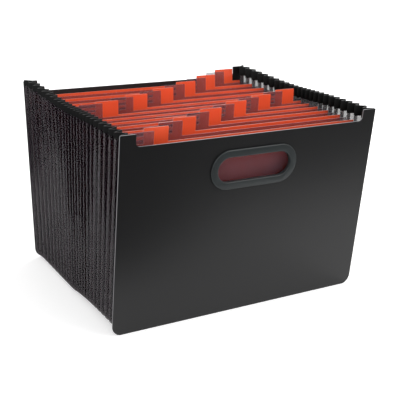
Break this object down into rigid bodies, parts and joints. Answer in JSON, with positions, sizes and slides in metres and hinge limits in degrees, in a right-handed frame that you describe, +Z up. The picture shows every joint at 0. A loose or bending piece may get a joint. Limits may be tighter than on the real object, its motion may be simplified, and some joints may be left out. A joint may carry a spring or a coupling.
{
  "type": "expanding file box",
  "caption": "Open-top expanding file box for A4 paper: two stiff covers with hand holes, pleated gussets that let it close, and dividers with stepped tabs.",
  "frame": {"origin": "bottom centre of the open box's bounding box, on the surface it stands on", "axes": "+X to the right along the covers' width, -Y out of the front cover, +Z up"},
  "size_m": [0.335, 0.2914, 0.2342],
  "materials": {
    "black_cover": "stiff polypropylene sheet, fine matte grain",
    "grey_handle": "moulded, smooth satin",
    "smoke_sheet": "translucent smoke polypropylene sheet, satin",
    "orange_sheet": "translucent orange polypropylene sheet, satin",
    "smoke_gusset": "translucent smoke polypropylene film, pleated",
    "black_tape": "glossy binding tape"
  },
  "bodies": {
    "back": {"back_cover": "black_cover", "back_handle_ring": "grey_handle", "back_handle_backing": "grey_handle", "left_gusset": "smoke_gusset", "right_gusset": "smoke_gusset", "bottom_gusset": "smoke_gusset", "left_binding": "black_tape", "right_binding": "black_tape"},
    "front": {"front_cover": "black_cover", "front_handle_ring": "grey_handle", "front_handle_backing": "grey_handle"},
    "divider_01": {"divider_01": "smoke_sheet"},
    "divider_02": {"divider_02": "orange_sheet"},
    "divider_03": {"divider_03": "smoke_sheet"},
    "divider_04": {"divider_04": "orange_sheet"},
    "divider_05": {"divider_05": "smoke_sheet"},
    "divider_06": {"divider_06": "orange_sheet"},
    "divider_07": {"divider_07": "smoke_sheet"},
    "divider_08": {"divider_08": "orange_sheet"},
    "divider_09": {"divider_09": "smoke_sheet"},
    "divider_10": {"divider_10": "orange_sheet"},
    "divider_11": {"divider_11": "smoke_sheet"},
    "divider_12": {"divider_12": "orange_sheet"},
    "divider_13": {"divider_13": "smoke_sheet"},
    "divider_14": {"divider_14": "orange_sheet"},
    "divider_15": {"divider_15": "smoke_sheet"},
    "divider_16": {"divider_16": "orange_sheet"},
    "divider_17": {"divider_17": "smoke_sheet"},
    "divider_18": {"divider_18": "orange_sheet"},
    "divider_19": {"divider_19": "smoke_sheet"},
    "divider_20": {"divider_20": "orange_sheet"},
    "divider_21": {"divider_21": "smoke_sheet"},
    "divider_22": {"divider_22": "orange_sheet"},
    "divider_23": {"divider_23": "smoke_sheet"},
    "divider_24": {"divider_24": "orange_sheet"}
  },
  "joints": [
    {"name": "front_slide", "type": "slide", "parent": "back", "child": "front", "axis": [0, -1, 0], "range_m": [-0.201, 0.024], "deforming": ["left_gusset", "right_gusset", "bottom_gusset", "left_binding", "right_binding"]},
    {"name": "divider_01_slide", "type": "slide", "parent": "back", "child": "divider_01", "axis": [0, -1, 0], "range_m": [-0.19754, 0.0236]},
    {"name": "divider_02_slide", "type": "slide", "parent": "back", "child": "divider_02", "axis": [0, -1, 0], "range_m": [-0.18768, 0.02242]},
    {"name": "divider_03_slide", "type": "slide", "parent": "back", "child": "divider_03", "axis": [0, -1, 0], "range_m": [-0.17805, 0.02127]},
    {"name": "divider_04_slide", "type": "slide", "parent": "back", "child": "divider_04", "axis": [0, -1, 0], "range_m": [-0.16878, 0.02017]},
    {"name": "divider_05_slide", "type": "slide", "parent": "back", "child": "divider_05", "axis": [0, -1, 0], "range_m": [-0.16, 0.01912]},
    {"name": "divider_06_slide", "type": "slide", "parent": "back", "child": "divider_06", "axis": [0, -1, 0], "range_m": [-0.15176, 0.01813]},
    {"name": "divider_07_slide", "type": "slide", "parent": "back", "child": "divider_07", "axis": [0, -1, 0], "range_m": [-0.14409, 0.01722]},
    {"name": "divider_08_slide", "type": "slide", "parent": "back", "child": "divider_08", "axis": [0, -1, 0], "range_m": [-0.137, 0.01637]},
    {"name": "divider_09_slide", "type": "slide", "parent": "back", "child": "divider_09", "axis": [0, -1, 0], "range_m": [-0.1304, 0.01558]},
    {"name": "divider_10_slide", "type": "slide", "parent": "back", "child": "divider_10", "axis": [0, -1, 0], "range_m": [-0.12422, 0.01484]},
    {"name": "divider_11_slide", "type": "slide", "parent": "back", "child": "divider_11", "axis": [0, -1, 0], "range_m": [-0.1183, 0.01414]},
    {"name": "divider_12_slide", "type": "slide", "parent": "back", "child": "divider_12", "axis": [0, -1, 0], "range_m": [-0.11249, 0.01345]},
    {"name": "divider_13_slide", "type": "slide", "parent": "back", "child": "divider_13", "axis": [0, -1, 0], "range_m": [-0.10662, 0.01274]},
    {"name": "divider_14_slide", "type": "slide", "parent": "back", "child": "divider_14", "axis": [0, -1, 0], "range_m": [-0.1005, 0.01201]},
    {"name": "divider_15_slide", "type": "slide", "parent": "back", "child": "divider_15", "axis": [0, -1, 0], "range_m": [-0.09397, 0.01123]},
    {"name": "divider_16_slide", "type": "slide", "parent": "back", "child": "divider_16", "axis": [0, -1, 0], "range_m": [-0.08688, 0.01039]},
    {"name": "divider_17_slide", "type": "slide", "parent": "back", "child": "divider_17", "axis": [0, -1, 0], "range_m": [-0.0791, 0.00946]},
    {"name": "divider_18_slide", "type": "slide", "parent": "back", "child": "divider_18", "axis": [0, -1, 0], "range_m": [-0.07056, 0.00844]},
    {"name": "divider_19_slide", "type": "slide", "parent": "back", "child": "divider_19", "axis": [0, -1, 0], "range_m": [-0.06122, 0.00732]},
    {"name": "divider_20_slide", "type": "slide", "parent": "back", "child": "divider_20", "axis": [0, -1, 0], "range_m": [-0.0511, 0.00611]},
    {"name": "divider_21_slide", "type": "slide", "parent": "back", "child": "divider_21", "axis": [0, -1, 0], "range_m": [-0.04026, 0.00482]},
    {"name": "divider_22_slide", "type": "slide", "parent": "back", "child": "divider_22", "axis": [0, -1, 0], "range_m": [-0.02881, 0.00345]},
    {"name": "divider_23_slide", "type": "slide", "parent": "back", "child": "divider_23", "axis": [0, -1, 0], "range_m": [-0.01689, 0.00203]},
    {"name": "divider_24_slide", "type": "slide", "parent": "back", "child": "divider_24", "axis": [0, -1, 0], "range_m": [-0.00468, 0.00057]}
  ],
  "couplings": [
    {"joint": "divider_01_slide", "follows": "front_slide", "ratio": 0.98271},
    {"joint": "divider_02_slide", "follows": "front_slide", "ratio": 0.93364},
    {"joint": "divider_03_slide", "follows": "front_slide", "ratio": 0.88573},
    {"joint": "divider_04_slide", "follows": "front_slide", "ratio": 0.83964},
    {"joint": "divider_05_slide", "follows": "front_slide", "ratio": 0.79592},
    {"joint": "divider_06_slide", "follows": "front_slide", "ratio": 0.75493},
    {"joint": "divider_07_slide", "follows": "front_slide", "ratio": 0.71681},
    {"joint": "divider_08_slide", "follows": "front_slide", "ratio": 0.6815},
    {"joint": "divider_09_slide", "follows": "front_slide", "ratio": 0.6487},
    {"joint": "divider_10_slide", "follows": "front_slide", "ratio": 0.61791},
    {"joint": "divider_11_slide", "follows": "front_slide", "ratio": 0.58847},
    {"joint": "divider_12_slide", "follows": "front_slide", "ratio": 0.55958},
    {"joint": "divider_13_slide", "follows": "front_slide", "ratio": 0.53037},
    {"joint": "divider_14_slide", "follows": "front_slide", "ratio": 0.49994},
    {"joint": "divider_15_slide", "follows": "front_slide", "ratio": 0.46745},
    {"joint": "divider_16_slide", "follows": "front_slide", "ratio": 0.43216},
    {"joint": "divider_17_slide", "follows": "front_slide", "ratio": 0.39346},
    {"joint": "divider_18_slide", "follows": "front_slide", "ratio": 0.35097},
    {"joint": "divider_19_slide", "follows": "front_slide", "ratio": 0.30451},
    {"joint": "divider_20_slide", "follows": "front_slide", "ratio": 0.25416},
    {"joint": "divider_21_slide", "follows": "front_slide", "ratio": 0.20023},
    {"joint": "divider_22_slide", "follows": "front_slide", "ratio": 0.14325},
    {"joint": "divider_23_slide", "follows": "front_slide", "ratio": 0.083947},
    {"joint": "divider_24_slide", "follows": "front_slide", "ratio": 0.023186}
  ]
}
